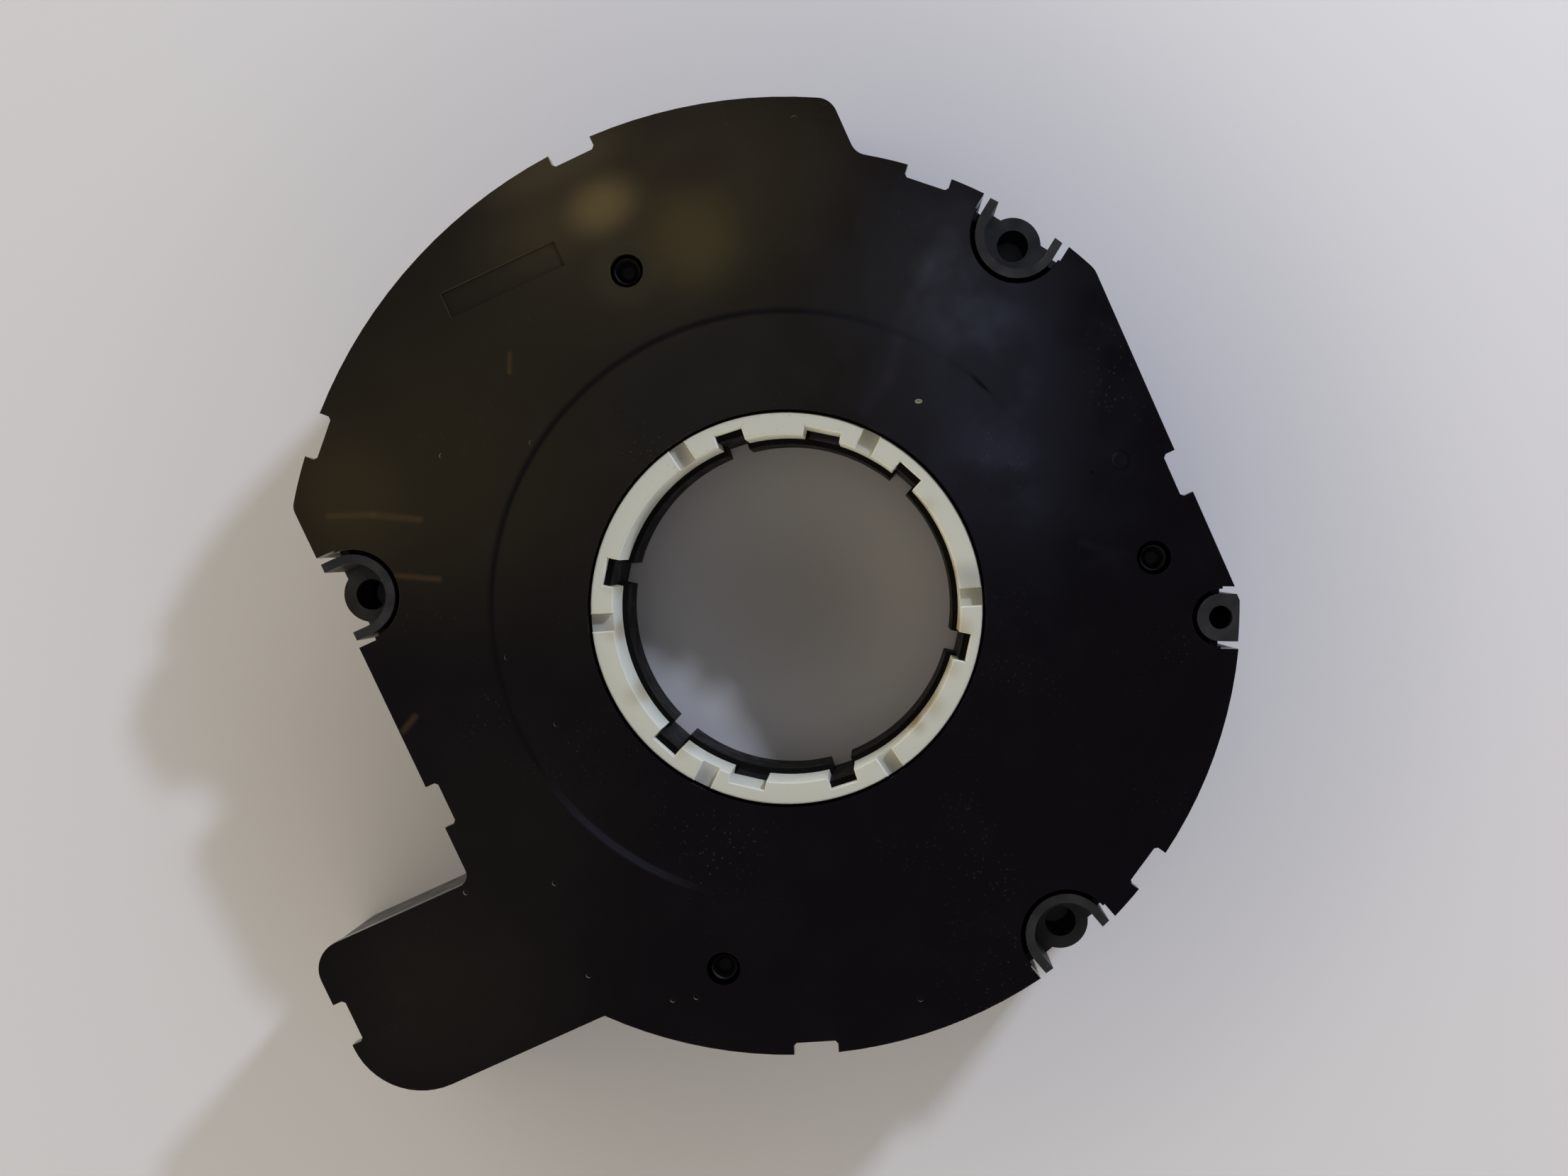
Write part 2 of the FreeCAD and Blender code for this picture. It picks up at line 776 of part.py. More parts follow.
def capacitor(angle, radius, turned_by):
    # Moulded body a little narrower than the terminals folded under its two ends
    length, width, height = capacitor_size
    body = centred_block(0, 0, length, width, board_top_z + capacitor_lift, board_top_z + height)
    shift = (length - capacitor_terminal) / 2
    across = width - 2 * capacitor_side_step
    top_z = board_top_z + height / 2
    ends = [
        centred_block(side * shift, 0, capacitor_terminal, across, board_top_z, top_z)
        for side in (-1, 1)
    ]
    return on_board(turn(body.fuse(ends), turned_by), angle, radius)


def line_choke():
    length, width, height = choke_size
    x = arm_parts_inset - left_flat_x
    y = arm_top_y - choke_below_top
    lift_z = board_top_z + choke_lift
    core = centred_block(x, y, length, width, lift_z, board_top_z + height)
    feet = [
        centred_block(x + sx * length / 3, y + sy * width / 3, choke_foot, choke_foot, board_top_z, lift_z)
        for sx in (-1, 1) for sy in (-1, 1)
    ]
    return core.fuse(feet)


def chip_resistors():
    length, width, height = resistor_size
    pieces = []
    for angle in resistor_angles:
        piece = centred_block(resistor_r, 0, width, length, board_top_z, board_top_z + height)
        pieces.append(turn(piece, angle))
    return Part.makeCompound(pieces)


def connector_header():
    seat_z = header_top_z - header_flange_t
    flange = socket_block(header_flange_margin, seat_z, header_top_z)
    body = socket_block(-header_fit, seat_z - header_body_t, seat_z)
    header = flange.fuse(body)
    for y in pin_places():
        header = header.cut(centred_block(socket_x, y, pin_side, pin_side, 0, header_top_z + past))
    return header.removeSplitter()


def connector_pin(y):
    # Blade in the socket, run over the header and tail through the board
    half = pin_side / 2
    tip_z = back_z + pin_recess
    run_z = header_top_z + pin_rise
    blade = block(socket_x - half, socket_x + half, y - half, y + half, tip_z, run_z + pin_side)
    run = block(socket_x - half, pin_tail_x + half, y - half, y + half, run_z, run_z + pin_side)
    tail_low = board_bottom_z - pin_through
    tail = block(pin_tail_x - half, pin_tail_x + half, y - half, y + half, tail_low, run_z + pin_side)
    return blade.fuse([run, tail]).removeSplitter()


def pieces():
    made = {
        "front_cover": front_cover(),
        "rear_housing": rear_housing(),
        "rotor_hub": rotor_hub(),
        "driver_ring": driver_ring(),
        "code_ring": code_ring(),
        "circuit_board": circuit_board(),
        "microcontroller": microcontroller(),
        "bus_driver": bus_driver(),
        "voltage_regulator": voltage_regulator(),
        "quartz_crystal": quartz_crystal(),
        "line_choke": line_choke(),
        "chip_resistors": chip_resistors(),
        "connector_header": connector_header(),
    }
    for k, angle in enumerate(spaced(barrier_start_angle, barrier_count)):
        made[f"light_barrier_{k + 1}"] = light_barrier(angle)
    made["capacitor_1"] = capacitor(flat_capacitor_angle, flat_middle_r + flat_capacitor_shift, 90)
    made["capacitor_2"] = capacitor(lobe_capacitor_angle, lobe_middle_r + lobe_capacitor_shift, 0)
    for k, y in enumerate(pin_places()):
        made[f"connector_pin_{k + 1}"] = connector_pin(y)
    return made


os.makedirs("parts", exist_ok=True)
for node, shape in pieces().items():
    box = shape.BoundBox
    print(
        f"{node}: {len(shape.Solids)} solid, valid {shape.isValid()}, {shape.Volume:.1f} mm3, "
        f"x {box.XMin:.2f} {box.XMax:.2f}, y {box.YMin:.2f} {box.YMax:.2f}, z {box.ZMin:.2f} {box.ZMax:.2f}"
    )
    shape.exportStep(f"parts/{node}.step")
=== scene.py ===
# %% [markdown]
# # A steering angle sensor, dressed for its picture
# The sensor lies on its back. A smoked cover closes a black moulded tray, and a white ring turns in the
# middle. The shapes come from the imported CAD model. This lesson gives them rounded edges, hollow post tops,
# small moulding marks, finishes, a floor, light and a camera.

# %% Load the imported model
import math

import bmesh
import bpy
from mathutils import Matrix, Vector


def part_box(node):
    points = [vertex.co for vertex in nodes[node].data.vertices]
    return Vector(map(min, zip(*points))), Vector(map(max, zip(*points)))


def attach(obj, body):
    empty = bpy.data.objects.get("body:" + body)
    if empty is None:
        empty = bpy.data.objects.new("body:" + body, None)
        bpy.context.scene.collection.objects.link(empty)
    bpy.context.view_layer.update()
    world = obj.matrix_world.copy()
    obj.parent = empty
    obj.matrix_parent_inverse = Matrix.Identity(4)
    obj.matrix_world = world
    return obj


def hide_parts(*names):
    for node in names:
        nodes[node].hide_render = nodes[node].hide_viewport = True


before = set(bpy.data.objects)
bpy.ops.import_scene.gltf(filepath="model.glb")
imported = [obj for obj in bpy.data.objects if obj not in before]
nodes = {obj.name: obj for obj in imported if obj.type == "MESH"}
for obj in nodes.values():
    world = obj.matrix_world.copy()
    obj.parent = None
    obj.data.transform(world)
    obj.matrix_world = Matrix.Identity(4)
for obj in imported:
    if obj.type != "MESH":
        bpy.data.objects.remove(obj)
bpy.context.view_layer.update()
MM = 0.001
print("nodes in the packed model:", len(nodes))

# %% [markdown]
# ## Heights that the pieces share
# Small marks sit on the cover's face, and the floor lies just under the housing's back. Both heights are
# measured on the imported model, so that they still fit if it is packed again.

# %% Measure the cover's face and the housing's back
cover_face_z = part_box("front_cover")[1].z
housing_back_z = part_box("rear_housing")[0].z
print("cover face at", round(cover_face_z / MM, 2), "mm, back at", round(housing_back_z / MM, 2), "mm")

# %% [markdown]
# ## Shader groups that several finishes share
# Moulded plastic has a soft orange-peel surface, handled parts carry dust, and light that comes through a
# translucent cover is painted as lighter places. Each effect is a node group with named inputs, so that every
# finish sets its own values.


# %% Start a node group
def start_group(name, inputs, outputs):
    group = bpy.data.node_groups.new(name, "ShaderNodeTree")
    for label, kind, value in inputs:
        socket = group.interface.new_socket(name=label, in_out="INPUT", socket_type=kind)
        if value is not None:
            socket.default_value = value
    for label, kind in outputs:
        group.interface.new_socket(name=label, in_out="OUTPUT", socket_type=kind)
    entry = group.nodes.new("NodeGroupInput")
    leave = group.nodes.new("NodeGroupOutput")
    return group, entry, leave


# %% [markdown]
# ### A soft patch
# The mask is 1 at a centre and falls to 0 at a reach that can differ along each axis. The vector to the
# centre is divided by the reach, and its length runs through a smooth Map Range.


# %% Build the soft patch
def build_soft_patch():
    group, entry, leave = start_group(
        "soft patch",
        [
            ("Vector", "NodeSocketVector", None),
            ("Centre", "NodeSocketVector", (0, 0, 0)),
            ("Reach", "NodeSocketVector", (1, 1, 1)),
        ],
        [("Mask", "NodeSocketFloat")],
    )
    away = group.nodes.new("ShaderNodeVectorMath")
    away.operation = "SUBTRACT"
    group.links.new(entry.outputs["Vector"], away.inputs[0])
    group.links.new(entry.outputs["Centre"], away.inputs[1])
    scaled = group.nodes.new("ShaderNodeVectorMath")
    scaled.operation = "DIVIDE"
    group.links.new(away.outputs[0], scaled.inputs[0])
    group.links.new(entry.outputs["Reach"], scaled.inputs[1])
    length = group.nodes.new("ShaderNodeVectorMath")
    length.operation = "LENGTH"
    group.links.new(scaled.outputs[0], length.inputs[0])
    fade = group.nodes.new("ShaderNodeMapRange")
    fade.interpolation_type = "SMOOTHERSTEP"
    fade.inputs["From Min"].default_value = 1.0
    fade.inputs["From Max"].default_value = 0.0
    group.links.new(length.outputs["Value"], fade.inputs["Value"])
    group.links.new(fade.outputs["Result"], leave.inputs["Mask"])
    return group


soft_patch = build_soft_patch()
print("group ready:", soft_patch.name)

# %% [markdown]
# ### A ring line
# A turned groove is a line at one distance from the axis. The height is dropped from the vector, and the
# difference between its length and the radius gives the mask.


# %% Build the ring line
def build_ring_line():
    group, entry, leave = start_group(
        "ring line",
        [
            ("Vector", "NodeSocketVector", None),
            ("Radius", "NodeSocketFloat", 0.01),
            ("Width", "NodeSocketFloat", 0.0004),
        ],
        [("Mask", "NodeSocketFloat")],
    )
    level = group.nodes.new("ShaderNodeVectorMath")
    level.operation = "MULTIPLY"
    level.inputs[1].default_value = (1.0, 1.0, 0.0)
    group.links.new(entry.outputs["Vector"], level.inputs[0])
    length = group.nodes.new("ShaderNodeVectorMath")
    length.operation = "LENGTH"
    group.links.new(level.outputs[0], length.inputs[0])
    gap = group.nodes.new("ShaderNodeMath")
    gap.operation = "SUBTRACT"
    group.links.new(length.outputs["Value"], gap.inputs[0])
    group.links.new(entry.outputs["Radius"], gap.inputs[1])
    distance = group.nodes.new("ShaderNodeMath")
    distance.operation = "ABSOLUTE"
    group.links.new(gap.outputs[0], distance.inputs[0])
    fade = group.nodes.new("ShaderNodeMapRange")
    fade.interpolation_type = "SMOOTHSTEP"
    fade.inputs["To Min"].default_value = 1.0
    fade.inputs["To Max"].default_value = 0.0
    group.links.new(distance.outputs[0], fade.inputs["Value"])
    group.links.new(entry.outputs["Width"], fade.inputs["From Max"])
    group.links.new(fade.outputs["Result"], leave.inputs["Mask"])
    return group


ring_line = build_ring_line()
print("group ready:", ring_line.name)

# %% [markdown]
# ### A hairline scratch
# A scratch is the set of points near a line from a start to an end. The nearest point of the line is found
# with two dot products, and the distance to it gives the mask.


# %% Build the hairline
def build_hairline():
    group, entry, leave = start_group(
        "hairline scratch",
        [
            ("Vector", "NodeSocketVector", None),
            ("Start", "NodeSocketVector", (0, 0, 0)),
            ("Run", "NodeSocketVector", (1, 0, 0)),
            ("Width", "NodeSocketFloat", 0.0002),
        ],
        [("Mask", "NodeSocketFloat")],
    )
    away = group.nodes.new("ShaderNodeVectorMath")
    away.operation = "SUBTRACT"
    group.links.new(entry.outputs["Vector"], away.inputs[0])
    group.links.new(entry.outputs["Start"], away.inputs[1])
    along = group.nodes.new("ShaderNodeVectorMath")
    along.operation = "DOT_PRODUCT"
    group.links.new(away.outputs[0], along.inputs[0])
    group.links.new(entry.outputs["Run"], along.inputs[1])
    whole = group.nodes.new("ShaderNodeVectorMath")
    whole.operation = "DOT_PRODUCT"
    group.links.new(entry.outputs["Run"], whole.inputs[0])
    group.links.new(entry.outputs["Run"], whole.inputs[1])
    share = group.nodes.new("ShaderNodeMath")
    share.operation = "DIVIDE"
    share.use_clamp = True
    group.links.new(along.outputs["Value"], share.inputs[0])
    group.links.new(whole.outputs["Value"], share.inputs[1])
    nearest = group.nodes.new("ShaderNodeVectorMath")
    nearest.operation = "SCALE"
    group.links.new(entry.outputs["Run"], nearest.inputs[0])
    group.links.new(share.outputs[0], nearest.inputs["Scale"])
    gap = group.nodes.new("ShaderNodeVectorMath")
    gap.operation = "DISTANCE"
    group.links.new(away.outputs[0], gap.inputs[0])
    group.links.new(nearest.outputs[0], gap.inputs[1])
    fade = group.nodes.new("ShaderNodeMapRange")
    fade.interpolation_type = "SMOOTHSTEP"
    fade.inputs["From Min"].default_value = 0.0
    fade.inputs["To Min"].default_value = 1.0
    fade.inputs["To Max"].default_value = 0.0
    group.links.new(gap.outputs["Value"], fade.inputs["Value"])
    group.links.new(entry.outputs["Width"], fade.inputs["From Max"])
    group.links.new(fade.outputs["Result"], leave.inputs["Mask"])
    return group


hairline = build_hairline()
print("group ready:", hairline.name)

# %% [markdown]
# ### The moulded skin
# Plastic from a mould has a faint waviness and a finer grain. Two noises of different size give one height
# for a Bump node, and the same noise gives a mask that makes the gloss uneven.


# %% Build the moulded skin
def build_moulded_skin():
    group, entry, leave = start_group(
        "moulded skin",
        [
            ("Vector", "NodeSocketVector", None),
            ("Wave Scale", "NodeSocketFloat", 300.0),
            ("Grain Scale", "NodeSocketFloat", 4000.0),
            ("Grain Share", "NodeSocketFloat", 0.3),
            ("Smooth", "NodeSocketFloat", 0.2),
            ("Rough", "NodeSocketFloat", 0.3),
        ],
        [("Height", "NodeSocketFloat"), ("Roughness", "NodeSocketFloat")],
    )
    wave = group.nodes.new("ShaderNodeTexNoise")
    wave.inputs["Detail"].default_value = 3.0
    group.links.new(entry.outputs["Vector"], wave.inputs["Vector"])
    group.links.new(entry.outputs["Wave Scale"], wave.inputs["Scale"])
    grain = group.nodes.new("ShaderNodeTexNoise")
    grain.inputs["Detail"].default_value = 2.0
    group.links.new(entry.outputs["Vector"], grain.inputs["Vector"])
    group.links.new(entry.outputs["Grain Scale"], grain.inputs["Scale"])
    both = group.nodes.new("ShaderNodeMix")
    group.links.new(entry.outputs["Grain Share"], both.inputs["Factor"])
    group.links.new(wave.outputs[0], both.inputs["A"])
    group.links.new(grain.outputs[0], both.inputs["B"])
    group.links.new(both.outputs["Result"], leave.inputs["Height"])
    gloss = group.nodes.new("ShaderNodeMapRange")
    gloss.inputs["From Min"].default_value = 0.35
    gloss.inputs["From Max"].default_value = 0.65
    group.links.new(wave.outputs[0], gloss.inputs["Value"])
    group.links.new(entry.outputs["Smooth"], gloss.inputs["To Min"])
    group.links.new(entry.outputs["Rough"], gloss.inputs["To Max"])
    group.links.new(gloss.outputs["Result"], leave.inputs["Roughness"])
    return group


moulded_skin = build_moulded_skin()
print("group ready:", moulded_skin.name)

# %% [markdown]
# ### Dust
# Fine dust gathers in spots. A high threshold on a small noise gives the specks, and a wide noise makes them
# denser in some places.


# %% Build the dust
def build_dust():
    group, entry, leave = start_group(
        "dust specks",
        [
            ("Vector", "NodeSocketVector", None),
            ("Speck Scale", "NodeSocketFloat", 1500.0),
            ("Amount", "NodeSocketFloat", 0.5),
        ],
        [("Mask", "NodeSocketFloat")],
    )
    specks = group.nodes.new("ShaderNodeTexVoronoi")
    group.links.new(entry.outputs["Vector"], specks.inputs["Vector"])
    group.links.new(entry.outputs["Speck Scale"], specks.inputs["Scale"])
    dots = group.nodes.new("ShaderNodeMapRange")
    dots.inputs["From Min"].default_value = 0.22
    dots.inputs["From Max"].default_value = 0.10
    group.links.new(specks.outputs["Distance"], dots.inputs["Value"])
    clouds = group.nodes.new("ShaderNodeTexNoise")
    clouds.inputs["Scale"].default_value = 70.0
    clouds.inputs["Detail"].default_value = 4.0
    group.links.new(entry.outputs["Vector"], clouds.inputs["Vector"])
    dense = group.nodes.new("ShaderNodeMapRange")
    dense.inputs["From Min"].default_value = 0.52
    dense.inputs["From Max"].default_value = 0.72
    group.links.new(clouds.outputs[0], dense.inputs["Value"])
    spots = group.nodes.new("ShaderNodeMath")
    spots.operation = "MULTIPLY"
    group.links.new(dots.outputs["Result"], spots.inputs[0])
    group.links.new(dense.outputs["Result"], spots.inputs[1])
    amount = group.nodes.new("ShaderNodeMath")
    amount.operation = "MULTIPLY"
    group.links.new(spots.outputs[0], amount.inputs[0])
    group.links.new(entry.outputs["Amount"], amount.inputs[1])
    group.links.new(amount.outputs[0], leave.inputs["Mask"])
    return group


dust_specks = build_dust()
print("group ready:", dust_specks.name)

# %% [markdown]
# ## Small helpers for the finishes
# Each finish is one material with one Principled BSDF. A finish object holds the node tree, the shader and
# the Object coordinates, so that the cells below only say what is special about each plastic or metal.


# %% The finish helper
class Finish:
    def __init__(self, name, colour, roughness, ior=1.5, metallic=0.0):
        self.material = bpy.data.materials.new(name)
        self.material.use_nodes = True
        self.tree = self.material.node_tree
        self.shader = self.tree.nodes["Principled BSDF"]
        self.shader.inputs["Base Color"].default_value = (*colour, 1.0)
        self.shader.inputs["Roughness"].default_value = roughness
        self.shader.inputs["IOR"].default_value = ior
        self.shader.inputs["Metallic"].default_value = metallic
        self.place = self.tree.nodes.new("ShaderNodeTexCoord").outputs["Object"]
        self.colour = None
        self.first_colour = colour

    def group(self, shared, **values):
        node = self.tree.nodes.new("ShaderNodeGroup")
        node.node_tree = shared
        self.tree.links.new(self.place, node.inputs["Vector"])
        for label, value in values.items():
            node.inputs[label.replace("_", " ")].default_value = value
        return node

    def tint(self, mask, colour, strength=1.0):
        """Mixes a colour over what is there, where the mask is high."""
        mix = self.tree.nodes.new("ShaderNodeMix")
        mix.data_type = "RGBA"
        mix.clamp_factor = True
        amount = self.tree.nodes.new("ShaderNodeMath")
        amount.operation = "MULTIPLY"
        amount.inputs[1].default_value = strength
        self.tree.links.new(mask, amount.inputs[0])
        self.tree.links.new(amount.outputs[0], mix.inputs["Factor"])
        if self.colour is None:
            mix.inputs["A"].default_value = (*self.first_colour, 1.0)
        else:
            self.tree.links.new(self.colour, mix.inputs["A"])
        mix.inputs["B"].default_value = (*colour, 1.0)
        self.colour = mix.outputs["Result"]
        self.tree.links.new(self.colour, self.shader.inputs["Base Color"])

    def patch(self, centre, reach, colour, strength=1.0):
        """Tints a soft patch round a point, both in millimetres."""
        spot = self.group(soft_patch, Centre=[c * MM for c in centre], Reach=[r * MM for r in reach])
        self.tint(spot.outputs["Mask"], colour, strength)

    def skin(self, strength, depth=0.05, **values):
        """Adds the moulded skin as bump and as uneven gloss."""
        grain = self.group(moulded_skin, **values)
        bump = self.tree.nodes.new("ShaderNodeBump")
        bump.inputs["Strength"].default_value = strength
        bump.inputs["Distance"].default_value = depth * MM
        self.tree.links.new(grain.outputs["Height"], bump.inputs["Height"])
        self.tree.links.new(bump.outputs["Normal"], self.shader.inputs["Normal"])
        self.tree.links.new(grain.outputs["Roughness"], self.shader.inputs["Roughness"])

    def dust(self, colour, amount=0.5, scale=1500.0):
        specks = self.group(dust_specks, Speck_Scale=scale, Amount=amount)
        self.tint(specks.outputs["Mask"], colour)

    def overlap(self, first, second):
        """Multiplies two masks, so that only what both cover is left."""
        both = self.tree.nodes.new("ShaderNodeMath")
        both.operation = "MULTIPLY"
        self.tree.links.new(first, both.inputs[0])
        self.tree.links.new(second, both.inputs[1])
        return both.outputs[0]


# %% [markdown]
# ## The smoked cover's finish
# The real cover is dark brown plastic that lets a little light through. It looks almost black over the black
# tray, olive and amber where light gets in behind it, and blue-black towards the right. The light behind it
# isn't in this scene, so this cover is opaque, and that glow is painted: soft patches of brown, olive and
# amber paint it where it shows on the real cover, with a painted light ring round the upper post hole. Each
# has a middle and a reach in millimetres, a colour and a strength, and a later patch is mixed over an earlier
# one.

# %% Mix the smoked cover
smoked = Finish("smoked cover", (0.0007, 0.0004, 0.0008), 0.16, ior=1.58)
GLOW_HEIGHT = 14.5
GLOW_DEPTH = 30
# Painted glow: each patch lightens the cover where light comes through the plastic.
COVER_GLOW_PATCHES = (
    ((-8, 42), (70, 60), (0.0098, 0.0084, 0.0050), 1.0),
    ((-32, 34), (30, 26), (0.0140, 0.0112, 0.0046), 1.0),
    ((-43, 35), (13, 14), (0.021, 0.0155, 0.0062), 1.0),
    ((2, 30), (24, 13), (0.0080, 0.0078, 0.0066), 0.8),
    ((7, 50), (36, 21), (0.0210, 0.0165, 0.0082), 1.0),
    ((-3, 60), (15, 5), (0.044, 0.034, 0.018), 0.8),
    ((12, 52.5), (10, 4.5), (0.0165, 0.0108, 0.0076), 0.8),
    ((8.4, 45.4), (9.6, 9.6), (0.036, 0.0285, 0.0110), 1.0),
    ((-5, 54), (16, 8), (0.030, 0.0235, 0.0115), 0.8),
    ((0.0, 53.3), (7.0, 5.2), (0.080, 0.059, 0.024), 1.0),
    ((-0.5, 45.2), (6.4, 6.4), (0.030, 0.0245, 0.0135), 0.8),
    ((-0.5, 45.2), (4.0, 4.0), (0.012, 0.010, 0.0065), 0.9),
    ((-58, -25), (26, 24), (0.0062, 0.0050, 0.0034), 1.0),
    ((-42, -10), (22, 24), (0.0036, 0.0029, 0.0024), 1.0),
)
for middle, reach, colour, strength in COVER_GLOW_PATCHES:
    smoked.patch((*middle, GLOW_HEIGHT), (*reach, GLOW_DEPTH), colour, strength)
print("tones on the smoked cover:", len(COVER_GLOW_PATCHES))

# %% [markdown]
# ### Scratch highlights and a flow mark
# Five hairlines lie on the left half of the cover, two of them end to end, so that they make one bent
# scratch. Their light brown is painted highlight, where the scratches catch light. A faint curved line on the
# right looks like a flow mark of the moulding, and four wider hairlines follow it. Their light violet is a
# painted reflection along the mark and along the left edge of the cool sheen.


# %% Draw the scratches and the flow mark
def draw_line(start, end, width, colour, strength):
    line = smoked.group(
        hairline,
        Start=(start[0] * MM, start[1] * MM, cover_face_z),
        Run=((end[0] - start[0]) * MM, (end[1] - start[1]) * MM, 0.0),
        Width=width * MM,
    )
    smoked.tint(line.outputs["Mask"], colour, strength)


# Painted highlights: scratches drawn as light brown lines where they catch light.
SCRATCH_HIGHLIGHTS = (
    ((-46.0, 33.5), (-41.0, 31.4), 0.7),
    ((-41.0, 31.4), (-36.0, 28.5), 0.7),
    ((-41.5, 23.5), (-37.0, 21.0), 0.6),
    ((-49.0, 6.0), (-47.0, 7.0), 0.7),
    ((-18.5, 40.0), (-17.5, 42.0), 0.5),
)
for start, end, width in SCRATCH_HIGHLIGHTS:
    draw_line(start, end, width, (0.060, 0.038, 0.014), 0.4)
# Painted reflection: a light violet line along a flow mark and the sheen's left edge.
FLOW_MARK_SHEEN_LINE = ((37.0, 33.2), (29.5, 28.0), (26.0, 24.3), (23.2, 20.6), (18.7, 18.0))
for start, end in zip(FLOW_MARK_SHEEN_LINE, FLOW_MARK_SHEEN_LINE[1:]):
    draw_line(start, end, 1.3, (0.011, 0.0085, 0.013), 0.35)
print("lines on the cover:", len(SCRATCH_HIGHLIGHTS) + len(FLOW_MARK_SHEEN_LINE) - 1)

# %% [markdown]
# ### The groove's painted shade and glint
# The groove round the rotor is narrow and shallow, and all that shows of it is a dark line. Its edges are
# shaded soft, so the ring line paints that shade: it darkens the cover there. On the lower left the line
# catches some light, so the same mask is tinted again inside a soft patch, a painted glint.

# %% Draw the groove's line
GROOVE_R = 36.1
GROOVE_LINE = 0.7
groove_line = smoked.group(ring_line, Radius=GROOVE_R * MM, Width=GROOVE_LINE * MM)
# Painted shade: a near-black tint along the groove.
smoked.tint(groove_line.outputs["Mask"], (0.0006, 0.0005, 0.0005), 0.85)
# Painted glint: a bluish grey tint on the groove's lower left arc.
glint_area = smoked.group(soft_patch, Centre=(-0.0315, -0.0180, 0.0145), Reach=(0.014, 0.017, 0.03))
painted_groove_glint = smoked.overlap(groove_line.outputs["Mask"], glint_area.outputs["Mask"])
smoked.tint(painted_groove_glint, (0.016, 0.018, 0.028), 0.9)
print("groove line at", GROOVE_R, "mm from the axis")

# %% [markdown]
# ### Dust and the lit edge of the cover
# The cover's outline has a light edge at the upper left alone, where light seems to come through the rim.
# The normal's height tells a wall from the flat face: it is 1 on the face and 0 on a wall. A mask made of
# it, times a soft patch over the upper left, mixes in the edge colour.

# %% Finish the smoked cover
smoked.dust((0.05, 0.05, 0.045), 0.3, 1400.0)
upright = smoked.tree.nodes.new("ShaderNodeSeparateXYZ")
facing = smoked.tree.nodes.new("ShaderNodeNewGeometry")
smoked.tree.links.new(facing.outputs["Normal"], upright.inputs["Vector"])
edge_light = smoked.tree.nodes.new("ShaderNodeMapRange")
edge_light.inputs["From Min"].default_value = 0.8
edge_light.inputs["From Max"].default_value = 0.2
smoked.tree.links.new(upright.outputs["Z"], edge_light.inputs["Value"])
lit_outline = smoked.group(soft_patch, Centre=(-0.060, 0.080, 0.0145), Reach=(0.11, 0.085, 0.1))
outline_edge = smoked.overlap(edge_light.outputs["Result"], lit_outline.outputs["Mask"])
smoked.tint(outline_edge, (0.16, 0.13, 0.045))
smoked.skin(0.12, 0.02, Wave_Scale=160.0, Grain_Scale=2500.0, Grain_Share=0.1, Smooth=0.12, Rough=0.2)
print("smoked cover is finished")

# %% [markdown]
# ## The black housing's finish
# The tray looks like glass-filled plastic, with a satin, finely grained surface. It is a touch lighter than
# the cover and carries more dust.

# %% Mix the black housing
housing_black = Finish("black housing", (0.010, 0.0102, 0.011), 0.45, ior=1.5)
housing_black.dust((0.09, 0.085, 0.075), 0.5, 1100.0)
housing_black.skin(0.35, 0.03, Wave_Scale=400.0, Grain_Scale=6000.0, Grain_Share=0.6, Smooth=0.36, Rough=0.52)
print("finish ready:", housing_black.material.name)

# %% [markdown]
# ## The white rotor's finish
# The ring is milky white plastic. A little scattering under the surface softens it. Old grease has stained
# its inner wall, most of all on one side, and the stains are patches in Object coordinates that turn with it.

# %% Mix the white rotor
rotor_white = Finish("white rotor", (0.47, 0.475, 0.415), 0.34, ior=1.48)
rotor_white.shader.inputs["Subsurface Weight"].default_value = 0.25
rotor_white.shader.inputs["Subsurface Radius"].default_value = (0.0012, 0.0010, 0.0008)
GREASE = (
    (-31, 3.0, 0.8), (-44, 2.2, 0.5), (-58, 3.0, 0.7), (-66, 2.0, 0.9), (-12, 2.5, 0.5),
    (12, 2.0, 0.35), (147, 2.6, 0.5), (163, 2.2, 0.55), (185, 2.6, 0.6), (208, 2.4, 0.5),
    (262, 2.5, 0.4), (100, 2.4, 0.35),
)
STAIN_R = 21.5
STAIN_HEIGHT = 10.0
STAIN_DEPTH = 9.0
for angle, reach, strength in GREASE:
    turn = math.radians(angle)
    spot = (STAIN_R * math.cos(turn), STAIN_R * math.sin(turn), STAIN_HEIGHT)
    rotor_white.patch(spot, (reach, reach, STAIN_DEPTH), (0.25, 0.18, 0.08), strength)
# A grey patch darkens the white front face round 345 degrees.
rotor_white.patch((22.1, -5.9, 14.0), (3.2, 3.2, 6.0), (0.31, 0.32, 0.29), 0.9)
rotor_white.dust((0.25, 0.21, 0.15), 0.5, 1300.0)
rotor_white.skin(0.2, 0.03, Wave_Scale=250.0, Grain_Scale=4000.0, Grain_Share=0.3, Smooth=0.28, Rough=0.42)
print("grease stains on the rotor:", len(GREASE))

# %% [markdown]
# ## The other finishes
# The driver ring and the code ring are black and matt. Inside are the green board, dark chip bodies, tinned
# legs and pins, and the plastics of the header and the light barriers.

# %% Mix the finishes of the small parts
driver_black = Finish("driver ring black", (0.0022, 0.0018, 0.0016), 0.6)
driver_black.shader.inputs["Specular IOR Level"].default_value = 0.1
driver_black.dust((0.06, 0.05, 0.035), 0.35, 1200.0)
driver_black.skin(0.4, 0.03, Wave_Scale=500.0, Grain_Scale=7000.0, Grain_Share=0.5, Smooth=0.45, Rough=0.62)

code_black = Finish("code ring black", (0.012, 0.012, 0.013), 0.5)
code_black.skin(0.25, 0.02, Wave_Scale=500.0, Grain_Scale=7000.0, Grain_Share=0.4, Smooth=0.42, Rough=0.56)

